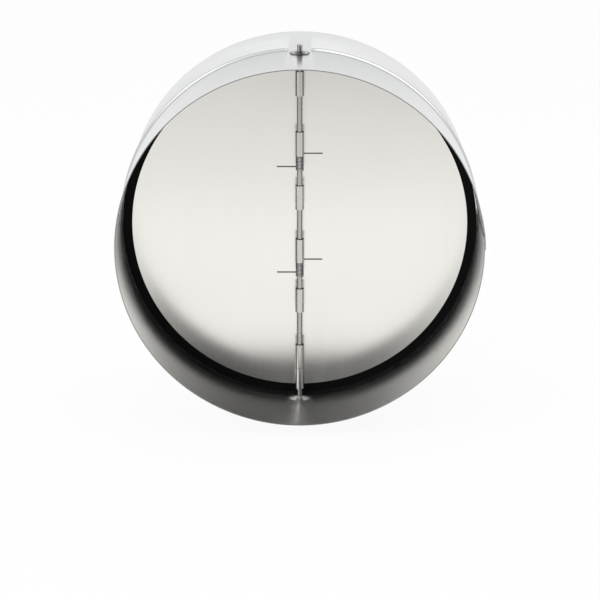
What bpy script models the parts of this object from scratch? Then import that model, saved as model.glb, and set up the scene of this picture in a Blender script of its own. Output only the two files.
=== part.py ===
"""Spring-closed butterfly backdraft damper for a round duct of nominal 400 mm.

Metres, +Z up. The duct runs along Y, with the downstream side at -Y, and the shaft stands along Z.
The origin is on the duct's centre line, in the plane of the bead.
"""

import math

import bmesh
import bpy
from mathutils import Vector

# Clearances
SEAT_GAP = 0.0003
SHAFT_HOLE_CLEARANCE = 0.0005
KNUCKLE_AXIAL_GAP = 0.0004
SPRING_BORE_CLEARANCE = 0.0004

# Casing: a rolled sleeve with a lap seam and a bead that runs out beside the shaft holes
CASING_RADIUS = 0.1995
CASING_LENGTH = 0.220
CASING_WALL = 0.001
CASING_SIDES = 100
BEAD_HEIGHT = 0.0023
BEAD_HALF_WIDTH = 0.0050
BEAD_STEPS = 8
BEAD_PLAIN_HALF_WIDTH = 0.0115
BEAD_RUN_OUT = 0.0030
SEAM_FREE_EDGE = 0.002
SEAM_OVERLAP = 0.015
SEAM_BLEND = 0.030
SEAM_BLEND_STEPS = 4
SEAM_STEP_WIDTH = 0.0004

# Boss pressed inwards round each shaft hole
BOSS_RADIUS = 0.0135
BOSS_TOP_RADIUS = 0.0045
BOSS_DEPTH = 0.0020
BOSS_STEPS = 5

# Rubber seal ring, rooted in the groove that the bead leaves inside
SEAL_WIDTH = 0.0070
SEAL_LIP = 0.0185
SEAL_LIP_THICKNESS = 0.0025
SEAL_BASE_DEPTH = 0.0085
SEAL_ROOT_SIDE_CLEARANCE = 0.0030
SEAL_ROOT_TOP_CLEARANCE = 0.0004
SEAL_ROOT_LEAST = 0.0001
SEAL_CHAMFER = 0.0006

# Blades: half discs of sheet with a standing edge that is rolled round the shaft
BLADE_THICKNESS = 0.0012
BLADE_EDGE_CLEARANCE = 0.0105
BLADE_CENTRE_GAP = 0.0012
BLADE_CORNER_MARGIN = 0.0005
BLADE_ARC_STEPS = 56
HINGE_STANDOFF = 0.0157

# Rolled knuckles; their heights follow the blade's radius
KNUCKLE_RADIUS = 0.0050
KNUCKLE_LENGTH = 0.0274
KNUCKLE_SLIT = 0.0009
KNUCKLE_ROLL_STEPS = 22
STEM_INSET = 0.0001
LEFT_KNUCKLE_SHARES = (0.882, 0.197, -0.439)
RIGHT_KNUCKLE_SHARES = (0.522, -0.131, -0.792)

# Shaft with a washer and a grooved seat for an open retaining clip on each stud
SHAFT_RADIUS = 0.0030
STUD_LENGTH = 0.0095
STUD_CHAMFER = 0.0006
WASHER_RADIUS = 0.0110
WASHER_THICKNESS = 0.0012
WASHER_CHAMFER = 0.0002
GROOVE_DEPTH = 0.0005
CLIP_RADIUS = 0.00565
CLIP_BAND = 0.00145
CLIP_THICKNESS = 0.0007
CLIP_MOUTH = math.radians(56.0)
CLIP_LUG = math.radians(36.0)
CLIP_ARC_STEP = math.radians(9.0)
ROUND_SIDES = 32

# Torsion springs
WIRE_RADIUS = 0.00055
WIRE_SIDES = 6
SPRING_PITCH = 0.0016
SPRING_TURNS = 9.5
SPRING_TURN_STEPS = 12
SPRING_END_ARC = math.radians(90.0)
SPRING_LEG_REACH = 0.0255
SPRING_LEG_BEND = 0.0016
SPRING_BEND_STEPS = 4

# Places that follow from the sizes above
CASING_BORE = CASING_RADIUS - CASING_WALL
SEAL_FRONT = -SEAL_WIDTH / 2
BLADE_BACK = SEAL_FRONT - SEAT_GAP
BLADE_FRONT = BLADE_BACK - BLADE_THICKNESS
BLADE_RADIUS = CASING_BORE - BLADE_EDGE_CLEARANCE
SHAFT_Y = BLADE_FRONT - HINGE_STANDOFF
SHAFT_HALF_LENGTH = CASING_RADIUS + STUD_LENGTH
KNUCKLE_BORE = KNUCKLE_RADIUS - BLADE_THICKNESS
BOSS_SLOPE = BOSS_DEPTH / (BOSS_RADIUS - BOSS_TOP_RADIUS)
WASHER_SINK = BOSS_SLOPE * max(0.0, BOSS_RADIUS - WASHER_RADIUS)
WASHER_HEIGHT = CASING_RADIUS - WASHER_SINK + SEAT_GAP
CLIP_HEIGHT = WASHER_HEIGHT + WASHER_THICKNESS + SEAT_GAP
GROOVE_RADIUS = SHAFT_RADIUS - GROOVE_DEPTH
SPRING_RADIUS = SHAFT_RADIUS + SPRING_BORE_CLEARANCE + WIRE_RADIUS

# Finishes: colour, metallic and roughness; edges sharper than the angle stay crisp
SHARP_EDGE_ANGLE = math.radians(35.0)
GALVANISED = ("galvanised_steel", (0.62, 0.63, 0.64), 0.9, 0.42)
RUBBER = ("black_rubber", (0.012, 0.012, 0.013), 0.0, 0.60)
ALUMINIUM = ("aluminium_sheet", (0.80, 0.80, 0.78), 0.9, 0.36)
BRIGHT_STEEL = ("bright_steel", (0.58, 0.58, 0.58), 1.0, 0.28)
SPRING_STEEL = ("spring_steel", (0.22, 0.21, 0.20), 1.0, 0.38)


def clear_scene():
    for existing in list(bpy.data.objects):
        bpy.data.objects.remove(existing, do_unlink=True)


def finish_material(finish):
    """The Principled material for one finish, made once."""
    name, colour, metallic, roughness = finish
    material = bpy.data.materials.get(name)
    if material is None:
        material = bpy.data.materials.new(name)
        material.use_nodes = True
        shader = material.node_tree.nodes["Principled BSDF"]
        shader.inputs["Base Color"].default_value = (*colour, 1.0)
        shader.inputs["Metallic"].default_value = metallic
        shader.inputs["Roughness"].default_value = roughness
    return material


def add_solid(name, shape, finish, parent=None):
    """Turn a closed bmesh into a named object; its points are relative to the parent's origin."""
    bmesh.ops.recalc_face_normals(shape, faces=shape.faces)
    mesh = bpy.data.meshes.new(name)
    shape.to_mesh(mesh)
    shape.free()
    mesh.materials.append(finish_material(finish))
    mesh.shade_smooth()
    mesh.set_sharp_from_angle(angle=SHARP_EDGE_ANGLE)
    solid = bpy.data.objects.new(name, mesh)
    bpy.context.collection.objects.link(solid)
    solid.parent = parent
    return solid


def add_guide(name, shape, parent=None):
    """A closed shape that only a Boolean uses."""
    guide = add_solid(name, shape, GALVANISED, parent)
    guide.hide_render = True
    guide.display_type = "WIRE"
    return guide


def add_boolean(solid, operation, operand):
    modifier = solid.modifiers.new(operand.name, "BOOLEAN")
    modifier.operation = operation
    modifier.object = operand
    modifier.solver = "EXACT"


def point_on_duct(radius, along, angle):
    return Vector((radius * math.cos(angle), along, radius * math.sin(angle)))


def point_on_shaft(radius, height, angle):
    return Vector((radius * math.cos(angle), SHAFT_Y + radius * math.sin(angle), height))


def bridge(shape, ring, following):
    """Join two closed rings that have the same number of points."""
    count = len(ring)
    for index in range(count):
        after = (index + 1) % count
        shape.faces.new((ring[index], ring[after], following[after], following[index]))


def ring_solid(sections):
    """Join closed sections of points, one after another, into a skin that closes on itself."""
    shape = bmesh.new()
    rings = [[shape.verts.new(point) for point in section] for section in sections]
    for ring, following in zip(rings, rings[1:] + rings[:1]):
        bridge(shape, ring, following)
    return shape


def bar_solid(sections):
    """Join closed sections of points, one after another, into a bar with flat ends."""
    shape = bmesh.new()
    rings = [[shape.verts.new(point) for point in section] for section in sections]
    for ring, following in zip(rings, rings[1:]):
        bridge(shape, ring, following)
    shape.faces.new(list(reversed(rings[0])))
    shape.faces.new(rings[-1])
    return shape


def even_angles(sides):
    return [math.tau * step / sides for step in range(sides)]


def extruded_outline(outline, low, high, upright):
    """Extrude a closed outline of (a, b) points: along Z when upright, along Y otherwise."""
    shape = bmesh.new()
    if upright:
        points = [shape.verts.new((a, b, low)) for a, b in outline]
        travel = Vector((0.0, 0.0, high - low))
    else:
        points = [shape.verts.new((a, low, b)) for a, b in outline]
        travel = Vector((0.0, high - low, 0.0))
    face = shape.faces.new(points)
    grown = bmesh.ops.extrude_face_region(shape, geom=[face])
    moved = [item for item in grown["geom"] if isinstance(item, bmesh.types.BMVert)]
    bmesh.ops.translate(shape, verts=moved, vec=travel)
    return shape


def wire_solid(path, radius, sides):
    """Sweep a round section along a path of points, with flat ends."""
    sections = []
    side = Vector((0.0, 0.0, 1.0))
    for index, point in enumerate(path):
        before = path[max(index - 1, 0)]
        after = path[min(index + 1, len(path) - 1)]
        along = (after - before).normalized()
        side = (side - along * side.dot(along)).normalized()
        other = along.cross(side)
        sections.append([point + radius * (side * math.cos(angle) + other * math.sin(angle))
                         for angle in even_angles(sides)])
    return bar_solid(sections)


def bead_rise(along):
    """How far the full bead lifts the sheet at one place along the sleeve."""
    if abs(along) >= BEAD_HALF_WIDTH:
        return 0.0
    return BEAD_HEIGHT * 0.5 * (1.0 + math.cos(math.pi * along / BEAD_HALF_WIDTH))


def bead_share(angle):
    """1 where the bead has its full height, 0 on the plain stretch beside a shaft hole."""
    across = CASING_RADIUS * abs(math.cos(angle))
    return min(1.0, max(0.0, (across - BEAD_PLAIN_HALF_WIDTH) / BEAD_RUN_OUT))


def seam_lifts(arc):
    """Outward steps of the inner and outer skin at an arc length above the seam's free end."""
    blend = 1.0 - (arc - SEAM_OVERLAP) / SEAM_BLEND
    if arc < 0.0 or blend < 0.0:
        return 0.0, 0.0
    if arc <= SEAM_OVERLAP:
        return 0.0, CASING_WALL
    return CASING_WALL * blend, CASING_WALL * blend


def casing_angles():
    """Angles round the sleeve: the seam's steps, the bead's run-outs, and even steps between them."""
    edge = SEAM_FREE_EDGE / CASING_RADIUS
    overlap_end = edge + SEAM_OVERLAP / CASING_RADIUS
    blend = SEAM_BLEND / CASING_RADIUS
    step = SEAM_STEP_WIDTH / 2 / CASING_RADIUS
    fixed = [edge - step, edge + step, overlap_end - step, overlap_end + step]
    fixed += [overlap_end + blend * number / SEAM_BLEND_STEPS for number in range(1, SEAM_BLEND_STEPS + 1)]
    for hole in (math.pi / 2, 3 * math.pi / 2):
        for across in (BEAD_PLAIN_HALF_WIDTH, BEAD_PLAIN_HALF_WIDTH + BEAD_RUN_OUT):
            reach = math.asin(across / CASING_RADIUS)
            fixed += [hole - reach, hole + reach]
    fixed.sort()
    angles = []
    for start, end in zip(fixed, fixed[1:] + [fixed[0] + math.tau]):
        count = math.ceil((end - start) * CASING_SIDES / math.tau)
        angles += [start + (end - start) * number / count for number in range(count)]
    return angles


def casing_sections():
    half = CASING_LENGTH / 2
    stations = [BEAD_HALF_WIDTH * (2.0 * step / BEAD_STEPS - 1.0) for step in range(BEAD_STEPS + 1)]
    stations = [-half] + stations + [half]
    sections = []
    for angle in casing_angles():
        inner_lift, outer_lift = seam_lifts(angle * CASING_RADIUS - SEAM_FREE_EDGE)
        outer = CASING_RADIUS + outer_lift
        inner = CASING_BORE + inner_lift
        rises = [(along, bead_rise(along) * bead_share(angle)) for along in stations]
        section = [point_on_duct(outer + rise, along, angle) for along, rise in rises]
        section += [point_on_duct(inner + rise, along, angle) for along, rise in reversed(rises)]
        sections.append(section)
    return sections


def cut_near_holes(shape, point, normal, reach):
    """Divide the sheet by a plane, but only within reach of the shaft holes."""
    patch = set()
    for face in shape.faces:
        centre = face.calc_center_median()
        beside = abs(centre.x) < BOSS_RADIUS and abs(centre.z) > BLADE_RADIUS
        if beside and abs(centre.y - SHAFT_Y) < reach:
            patch.update([face], face.edges, face.verts)
    bmesh.ops.bisect_plane(shape, geom=list(patch), plane_co=point, plane_no=normal, dist=1e-6)


def press_bosses(shape):
    """Divide the sheet round the shaft holes finely and press it inwards there."""
    cuts = [BOSS_RADIUS * number / BOSS_STEPS for number in range(-BOSS_STEPS, BOSS_STEPS + 1)]
    for cut in cuts:
        cut_near_holes(shape, (0, SHAFT_Y + cut, 0), (0, 1, 0), CASING_LENGTH)
    for cut in cuts:
        cut_near_holes(shape, (cut, 0, 0), (1, 0, 0), BOSS_RADIUS)
    for corner in shape.verts:
        from_hole = math.hypot(corner.co.x, corner.co.y - SHAFT_Y)
        if from_hole < BOSS_RADIUS and abs(corner.co.z) > BLADE_RADIUS:
            depth = BOSS_SLOPE * (BOSS_RADIUS - max(from_hole, BOSS_TOP_RADIUS))
            corner.co.z -= math.copysign(depth, corner.co.z)


def build_casing():
    shape = ring_solid(casing_sections())
    press_bosses(shape)
    casing = add_solid("casing", shape, GALVANISED)
    hole_radius = SHAFT_RADIUS + SHAFT_HOLE_CLEARANCE
    holes = bmesh.new()
    bmesh.ops.create_cone(holes, cap_ends=True, segments=ROUND_SIDES, radius1=hole_radius,
                          radius2=hole_radius, depth=2 * SHAFT_HALF_LENGTH)
    bmesh.ops.translate(holes, verts=holes.verts, vec=(0.0, SHAFT_Y, 0.0))
    add_boolean(casing, "DIFFERENCE", add_guide("shaft_holes_guide", holes))


def build_seal_ring():
    outer = CASING_BORE - SEAT_GAP
    lip = CASING_BORE - SEAL_LIP
    base = CASING_BORE - SEAL_BASE_DEPTH
    root_half_width = BEAD_HALF_WIDTH - SEAL_ROOT_SIDE_CLEARANCE
    lip_back = SEAL_FRONT + SEAL_LIP_THICKNESS
    back = SEAL_WIDTH / 2
    sections = []
    for angle in casing_angles():
        groove = CASING_BORE + bead_rise(root_half_width) * bead_share(angle)
        root = max(groove - SEAL_ROOT_TOP_CLEARANCE, outer + SEAL_ROOT_LEAST)
        profile = [(lip, SEAL_FRONT + SEAL_CHAMFER), (lip + SEAL_CHAMFER, SEAL_FRONT), (outer, SEAL_FRONT),
                   (outer, -root_half_width), (root, -root_half_width), (root, root_half_width),
                   (outer, root_half_width), (outer, back), (base, back), (base, lip_back),
                   (lip + SEAL_CHAMFER, lip_back), (lip, lip_back - SEAL_CHAMFER)]
        sections.append([point_on_duct(radius, along, angle) for radius, along in profile])
    add_solid("seal_ring", ring_solid(sections), RUBBER)


def build_shaft():
    """Turned bar with a clip groove and a chamfer at each end."""
    groove_low = CLIP_HEIGHT - SEAT_GAP
    groove_high = CLIP_HEIGHT + CLIP_THICKNESS + SEAT_GAP
    upper = [(SHAFT_RADIUS, groove_low), (GROOVE_RADIUS, groove_low), (GROOVE_RADIUS, groove_high),
             (SHAFT_RADIUS, groove_high), (SHAFT_RADIUS, SHAFT_HALF_LENGTH - STUD_CHAMFER),
             (SHAFT_RADIUS - STUD_CHAMFER, SHAFT_HALF_LENGTH)]
    profile = [(radius, -height) for radius, height in reversed(upper)] + upper
    sections = [[point_on_shaft(radius, height, angle) for angle in even_angles(ROUND_SIDES)]
                for radius, height in profile]
    add_solid("shaft", bar_solid(sections), BRIGHT_STEEL)


def build_washer(name, side):
    """Flat washer on one stud, side being 1 at the top and -1 at the bottom."""
    bore = SHAFT_RADIUS + SEAT_GAP
    free = WASHER_HEIGHT + WASHER_THICKNESS
    profile = [(bore, WASHER_HEIGHT), (WASHER_RADIUS, WASHER_HEIGHT),
               (WASHER_RADIUS, free - WASHER_CHAMFER), (WASHER_RADIUS - WASHER_CHAMFER, free), (bore, free)]
    sections = [[point_on_shaft(radius, side * height, angle) for radius, height in profile]
                for angle in even_angles(ROUND_SIDES)]
    add_solid(name, ring_solid(sections), BRIGHT_STEEL)


def arc_points(radius, start, end):
    """Points on an arc about the shaft, in steps of about the clip's arc step."""
    count = max(1, round(abs(end - start) / CLIP_ARC_STEP))
    angles = [start + (end - start) * number / count for number in range(count + 1)]
    return [(radius * math.cos(angle), SHAFT_Y + radius * math.sin(angle)) for angle in angles]


def clip_outline():
    """Open ring with its mouth towards -Y and three lugs that reach into the shaft's groove."""
    first = -math.pi / 2 + CLIP_MOUTH / 2
    last = first + math.tau - CLIP_MOUTH
    middle = (first + last) / 2
    lug_radius = GROOVE_RADIUS + SEAT_GAP
    pocket_radius = CLIP_RADIUS - CLIP_BAND
    outline = arc_points(CLIP_RADIUS, first, last)
    outline += arc_points(lug_radius, last, last - CLIP_LUG)
    outline += arc_points(pocket_radius, last - CLIP_LUG, middle + CLIP_LUG / 2)
    outline += arc_points(lug_radius, middle + CLIP_LUG / 2, middle - CLIP_LUG / 2)
    outline += arc_points(pocket_radius, middle - CLIP_LUG / 2, first + CLIP_LUG)
    outline += arc_points(lug_radius, first + CLIP_LUG, first)
    return outline


def build_shaft_ends():
    """A washer and a retaining clip outside the sleeve, at both ends of the shaft."""
    for end, side in (("top", 1.0), ("bottom", -1.0)):
        build_washer(f"flat_washer_{end}", side)
        seat = side * CLIP_HEIGHT
        clip = extruded_outline(clip_outline(), seat, seat + side * CLIP_THICKNESS, True)
        add_solid(f"retaining_clip_{end}", clip, BRIGHT_STEEL)


def knuckle_spans(side):
    """Low and high ends of one blade's knuckles: three on the right (side 1), four on the left (-1)."""
    half = KNUCKLE_LENGTH / 2
    shares = RIGHT_KNUCKLE_SHARES if side > 0 else LEFT_KNUCKLE_SHARES
    spans = [(share * BLADE_RADIUS - half, share * BLADE_RADIUS + half) for share in shares]
    if side < 0:
        neighbour_bottom = RIGHT_KNUCKLE_SHARES[-1] * BLADE_RADIUS - half
        spans.append((BLADE_CORNER_MARGIN - BLADE_RADIUS, neighbour_bottom - KNUCKLE_AXIAL_GAP))
    return spans


def blade_outline(side):
    """Half disc seen along the duct, closed by its straight inner edge."""
    inner = BLADE_CENTRE_GAP / 2
    reach = math.acos(inner / BLADE_RADIUS)
    angles = [reach * (2.0 * step / BLADE_ARC_STEPS - 1.0) for step in range(BLADE_ARC_STEPS + 1)]
    return [(side * BLADE_RADIUS * math.cos(angle), BLADE_RADIUS * math.sin(angle)) for angle in angles]


def knuckle_outline(side):
    """Section of the standing edge and its roll round the shaft, with the shaft at zero."""
    near = BLADE_CENTRE_GAP / 2 + STEM_INSET
    far = near + BLADE_THICKNESS
    root = HINGE_STANDOFF + BLADE_THICKNESS / 2
    outer_start = math.acos(far / KNUCKLE_RADIUS)
    inner_start = math.acos(near / KNUCKLE_BORE)
    end = math.acos((near - KNUCKLE_SLIT) / KNUCKLE_RADIUS) - math.tau
    outline = [(far, root)]
    for step in range(KNUCKLE_ROLL_STEPS + 1):
        angle = outer_start + (end - outer_start) * step / KNUCKLE_ROLL_STEPS
        outline.append((KNUCKLE_RADIUS * math.cos(angle), KNUCKLE_RADIUS * math.sin(angle)))
    for step in range(KNUCKLE_ROLL_STEPS + 1):
        angle = end + (inner_start - end) * step / KNUCKLE_ROLL_STEPS
        outline.append((KNUCKLE_BORE * math.cos(angle), KNUCKLE_BORE * math.sin(angle)))
    outline.append((near, root))
    return [(side * across, along) for across, along in outline]


def build_blade(name, side, hinge):
    """Half disc with its knuckles joined on; the hinge empty stands on the shaft's axis."""
    plate = extruded_outline(blade_outline(side), BLADE_FRONT - SHAFT_Y, BLADE_BACK - SHAFT_Y, False)
    blade = add_solid(name, plate, ALUMINIUM, hinge)
    outline = knuckle_outline(side)
    for number, (low, high) in enumerate(knuckle_spans(side), start=1):
        knuckle = extruded_outline(outline, low, high, True)
        guide = add_guide(f"{name}_knuckle_guide_{number}", knuckle, hinge)
        add_boolean(blade, "UNION", guide)


def spring_leg_path(side, height):
    """Points of one leg, from its tip on the blade to the last part turn on the shaft.

    The leg starts on the far side of the shaft and crosses behind it, so opening winds the coil up.
    """
    lie = HINGE_STANDOFF - SEAT_GAP - WIRE_RADIUS
    centre_x = SPRING_LEG_BEND - SPRING_RADIUS
    centre_y = lie - SPRING_LEG_BEND
    points = [(SPRING_LEG_REACH, lie)]
    for step in range(SPRING_BEND_STEPS + 1):
        angle = math.pi / 2 * (1.0 + step / SPRING_BEND_STEPS)
        points.append((centre_x + SPRING_LEG_BEND * math.cos(angle),
                       centre_y + SPRING_LEG_BEND * math.sin(angle)))
    path = [Vector((side * across, along, height)) for across, along in points]
    arc_steps = max(3, round(SPRING_TURN_STEPS * SPRING_END_ARC / math.tau))
    for step in range(arc_steps + 1):
        turned = SPRING_END_ARC * step / arc_steps
        path.append(Vector((-side * SPRING_RADIUS * math.cos(turned), -SPRING_RADIUS * math.sin(turned),
                            height - side * SPRING_PITCH * turned / math.tau)))
    return path


def coil_path(top):
    """Left-handed helix from just past the right leg's part turn to just before the left leg's."""
    first = SPRING_END_ARC + SEAT_GAP / (SPRING_RADIUS - WIRE_RADIUS)
    last = math.tau * SPRING_TURNS - first
    steps = round(SPRING_TURN_STEPS * SPRING_TURNS)
    path = []
    for step in range(steps + 1):
        turned = first + (last - first) * step / steps
        path.append(point_on_shaft(SPRING_RADIUS, top - SPRING_PITCH * turned / math.tau, math.pi + turned))
    return path


def build_spring(name, top, hinges):
    add_solid(f"{name}_coil", wire_solid(coil_path(top), WIRE_RADIUS, WIRE_SIDES), SPRING_STEEL)
    bottom = top - SPRING_PITCH * SPRING_TURNS
    for blade, side, height in (("right", 1.0, top), ("left", -1.0, bottom)):
        shape = wire_solid(spring_leg_path(side, height), WIRE_RADIUS, WIRE_SIDES)
        add_solid(f"{name}_leg_{blade}", shape, SPRING_STEEL, hinges[blade])


def main():
    clear_scene()
    hinges = {}
    for blade in ("left", "right"):
        hinge = bpy.data.objects.new(f"hinge_{blade}", None)
        bpy.context.collection.objects.link(hinge)
        hinge.location = (0.0, SHAFT_Y, 0.0)
        hinges[blade] = hinge
    build_casing()
    build_seal_ring()
    build_shaft()
    build_shaft_ends()
    build_blade("blade_left", -1.0, hinges["left"])
    build_blade("blade_right", 1.0, hinges["right"])
    right_spans = knuckle_spans(1.0)
    for name, span in (("spring_upper", right_spans[0]), ("spring_lower", right_spans[1])):
        build_spring(name, span[0] - KNUCKLE_AXIAL_GAP - WIRE_RADIUS, hinges)


main()
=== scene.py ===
"""Looks of the spring-closed butterfly backdraft damper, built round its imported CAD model.

Laid out as an add-on: one operator for each piece or group of like pieces, and one for the stage.
Metres, +Z up. The duct runs along Y, the blades open towards -Y, and the shaft stands along Z.
"""

import math

import bmesh
import bpy
from mathutils import Matrix, Vector


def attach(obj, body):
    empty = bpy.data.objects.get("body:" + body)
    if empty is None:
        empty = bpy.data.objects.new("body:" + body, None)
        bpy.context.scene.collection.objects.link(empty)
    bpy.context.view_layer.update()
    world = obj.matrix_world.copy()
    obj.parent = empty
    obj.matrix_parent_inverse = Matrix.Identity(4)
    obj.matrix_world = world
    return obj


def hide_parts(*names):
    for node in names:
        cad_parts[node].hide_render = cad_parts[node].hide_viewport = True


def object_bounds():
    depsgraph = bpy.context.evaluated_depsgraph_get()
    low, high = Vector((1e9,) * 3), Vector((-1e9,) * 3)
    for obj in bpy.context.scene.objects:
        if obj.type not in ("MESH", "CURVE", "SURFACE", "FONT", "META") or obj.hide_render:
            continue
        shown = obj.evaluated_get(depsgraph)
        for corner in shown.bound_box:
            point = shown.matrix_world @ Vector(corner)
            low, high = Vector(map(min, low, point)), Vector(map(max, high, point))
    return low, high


bl_info = {
    "name": "Backdraft damper",
    "version": (1, 0, 0),
    "blender": (4, 5, 0),
    "location": "3D View > Sidebar > Damper",
    "description": "Builds the visible pieces, the finishes and the stage of a round backdraft damper",
    "category": "Object",
}

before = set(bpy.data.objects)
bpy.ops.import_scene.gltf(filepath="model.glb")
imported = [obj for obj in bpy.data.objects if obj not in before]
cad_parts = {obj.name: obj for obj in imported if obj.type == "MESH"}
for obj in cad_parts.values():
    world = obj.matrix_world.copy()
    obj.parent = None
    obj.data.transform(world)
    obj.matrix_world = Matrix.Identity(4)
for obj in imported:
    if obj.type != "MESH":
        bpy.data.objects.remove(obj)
CAD_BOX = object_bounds()

ALONG_DUCT = Vector((0.0, 1.0, 0.0))
ALONG_SHAFT = Vector((0.0, 0.0, 1.0))


def length(label, note, default):
    """A property that holds a length in metres."""
    return bpy.props.FloatProperty(name=label, description=note, default=default, min=0.0, precision=5,
                                   unit="LENGTH", subtype="DISTANCE")


def angle(label, note, degrees):
    """A property that holds an angle."""
    return bpy.props.FloatProperty(name=label, description=note, default=math.radians(degrees),
                                   subtype="ANGLE", unit="ROTATION")


def factor(label, note, default):
    """A property that holds a number from 0 to 1."""
    return bpy.props.FloatProperty(name=label, description=note, default=default, min=0.0, max=1.0,
                                   subtype="FACTOR")


def colour(label, note, default):
    """A property that holds a colour in linear values."""
    return bpy.props.FloatVectorProperty(name=label, description=note, default=default, size=3, min=0.0,
                                         max=1.0, subtype="COLOR")


# Sizes and colours that a user would change
class SleeveSizes(bpy.types.PropertyGroup):
    """Sizes of the sleeve and of the rubber ring in it."""
    radius: length("Radius", "Outside radius of the plain sleeve", 0.1995)
    length: length("Length", "Length of the sleeve along the duct", 0.220)
    sheet: length("Sheet", "Thickness of the sleeve's sheet", 0.001)
    bead_height: length("Bead height", "How far the bead stands out", 0.0023)
    bead_half_width: length("Bead half width", "Half of the bead's width along the duct", 0.0050)
    bead_plain: length("Plain half width", "Half of the stretch without bead at a shaft hole", 0.0115)
    bead_run_out: length("Run-out", "Length over which the bead runs out", 0.0030)
    boss_radius: length("Boss radius", "Radius of the boss pressed in round a shaft hole", 0.0135)
    boss_top: length("Boss top", "Radius of the flat top of a boss", 0.0045)
    boss_depth: length("Boss depth", "How far a boss is pressed in", 0.0020)
    hole: length("Hole radius", "Radius of the shaft holes", 0.0035)
    seam_edge: length("Seam edge", "Arc from the right-hand side up to the seam's free edge", 0.002)
    seam_overlap: length("Seam overlap", "Arc over which the two plies lie on each other", 0.015)
    seam_blend: length("Seam blend", "Arc over which the outer ply comes back to the round", 0.030)
    ring_width: length("Ring width", "Width of the rubber ring along the duct", 0.0070)
    ring_lip: length("Ring lip", "How far the ring's lip stands in from the sleeve", 0.0185)
    ring_lip_sheet: length("Lip thickness", "Thickness of the ring's lip", 0.0025)
    ring_base: length("Ring base", "How far the ring's thick base stands in from the sleeve", 0.0085)
    ring_fit: length("Ring fit", "Gap between the ring and the sleeve", 0.00005)


class BladeSizes(bpy.types.PropertyGroup):
    """Sizes of the two blades."""
    radius: length("Radius", "Radius of the half discs", 0.1880)
    sheet: length("Sheet", "Thickness of the blades' sheet", 0.0012)
    front: length("Front face", "Distance of the closed blades' front face from the bead's plane", 0.0050)
    centre_gap: length("Centre gap", "Gap between the straight edges of the two blades", 0.0012)
    stem_inset: length("Stem inset", "How far the standing tabs stay back from the straight edge", 0.0001)
    bend: length("Tab bend", "Inner radius of the bend from blade to tab", 0.0010)
    neck: length("Tab neck", "Radius where the tab runs into its roll", 0.0008)
    relief: length("Relief", "Width of the notch beside each tab", 0.0008)
    roll: length("Roll radius", "Outside radius of the rolled knuckles", 0.0050)
    slit: length("Slit", "Gap between a roll's free edge and its tab", 0.0009)
    knuckle: length("Knuckle length", "Length of the three long knuckles of a blade", 0.0274)


class ShaftSizes(bpy.types.PropertyGroup):
    """Sizes of the shaft and of what sits on its ends."""
    offset: length("Offset", "Distance of the shaft's axis from the bead's plane", 0.0207)
    radius: length("Radius", "Radius of the shaft", 0.0030)
    stud: length("Stud", "How far the shaft stands out of the sleeve", 0.0095)
    chamfer: length("Chamfer", "Chamfer at the shaft's ends", 0.0006)
    washer_radius: length("Washer radius", "Radius of the flat washers", 0.0110)
    washer_sheet: length("Washer thickness", "Thickness of the flat washers", 0.0012)
    groove: length("Groove depth", "Depth of the clips' grooves in the shaft", 0.0005)
    clip_radius: length("Clip radius", "Radius of the retaining clips", 0.00565)
    clip_band: length("Clip band", "Width of the clips' ring", 0.00145)
    clip_sheet: length("Clip thickness", "Thickness of the retaining clips", 0.0007)
    clip_mouth: angle("Clip mouth", "Opening of the clips", 56.0)
    clip_lug: angle("Clip lug", "Arc of each of a clip's three lugs", 36.0)
    seat: length("Seat gap", "Gap left between pieces that touch", 0.0003)


class SpringSizes(bpy.types.PropertyGroup):
    """Sizes of the two torsion springs."""
    wire: length("Wire radius", "Radius of the spring wire", 0.00055)
    coil: length("Coil radius", "Radius of the coil's centre line", 0.00395)
    pitch: length("Pitch", "Rise of the coil in one turn", 0.0016)
    reach: length("Leg reach", "Distance of a leg's tip from the shaft's axis", 0.0255)
    bend: length("Leg bend", "Radius of a leg's bend", 0.0016)
    end_arc: angle("End arc", "Part turn that belongs to each leg", 90.0)


class Finishes(bpy.types.PropertyGroup):
    """Colours and gloss of the five finishes."""
    sleeve: colour("Sleeve", "Galvanised sheet", (0.83, 0.84, 0.84))
    sleeve_gloss: factor("Sleeve roughness", "Roughness of the galvanised sheet", 0.23)
    blade: colour("Blade", "Rolled aluminium sheet", (0.885, 0.865, 0.82))
    blade_gloss: factor("Blade roughness", "Roughness of the aluminium sheet", 0.20)
    rubber: colour("Rubber", "Black rubber", (0.0035, 0.0035, 0.0038))
    shaft: colour("Shaft", "Bright plated steel", (0.52, 0.51, 0.50))
    # Bright, so that the middle of the coils carries a painted highlight
    spring: colour("Spring", "Drawn spring wire", (0.95, 0.94, 0.92))


class StageSettings(bpy.types.PropertyGroup):
    """Camera and floor."""
    lens: bpy.props.FloatProperty(name="Lens", description="Focal length in mm on a 36 mm sensor",
                                  default=128.96, min=10.0)
    distance: length("Distance", "Camera to the middle of the downstream rim", 2.3126)
    tilt: angle("Tilt", "How far the camera looks down", 16.345)
    turn: angle("Turn", "How far the camera stands to one side", -0.116)
    shift_x: bpy.props.FloatProperty(name="Shift X", description="Sideways lens shift", default=0.00081)
    shift_y: bpy.props.FloatProperty(name="Shift Y", description="Upward lens shift", default=-0.0802)
    floor_drop: length("Floor drop", "Gap between the lowest point and the floor", 0.0005)


def sizes(name):
    return getattr(bpy.context.scene, "damper_" + name)


# Finishes
NOISE_LOW = 0.3
NOISE_HIGH = 0.7
# Share of its brightness that each darker place keeps; all but the cut edge are painted shade
CUT_EDGE_SHADE = 0.45
KNUCKLE_PAINTED_SHADE = 0.70
KNUCKLE_FLANK_PAINTED_SHADE = 0.62
BORE_PAINTED_SHADE = 0.25
WASHER_RIM_PAINTED_SHADE = 0.25
SHAFT_FLANK_PAINTED_SHADE = 0.6
WIRE_PAINTED_SHADE = 0.25


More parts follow.
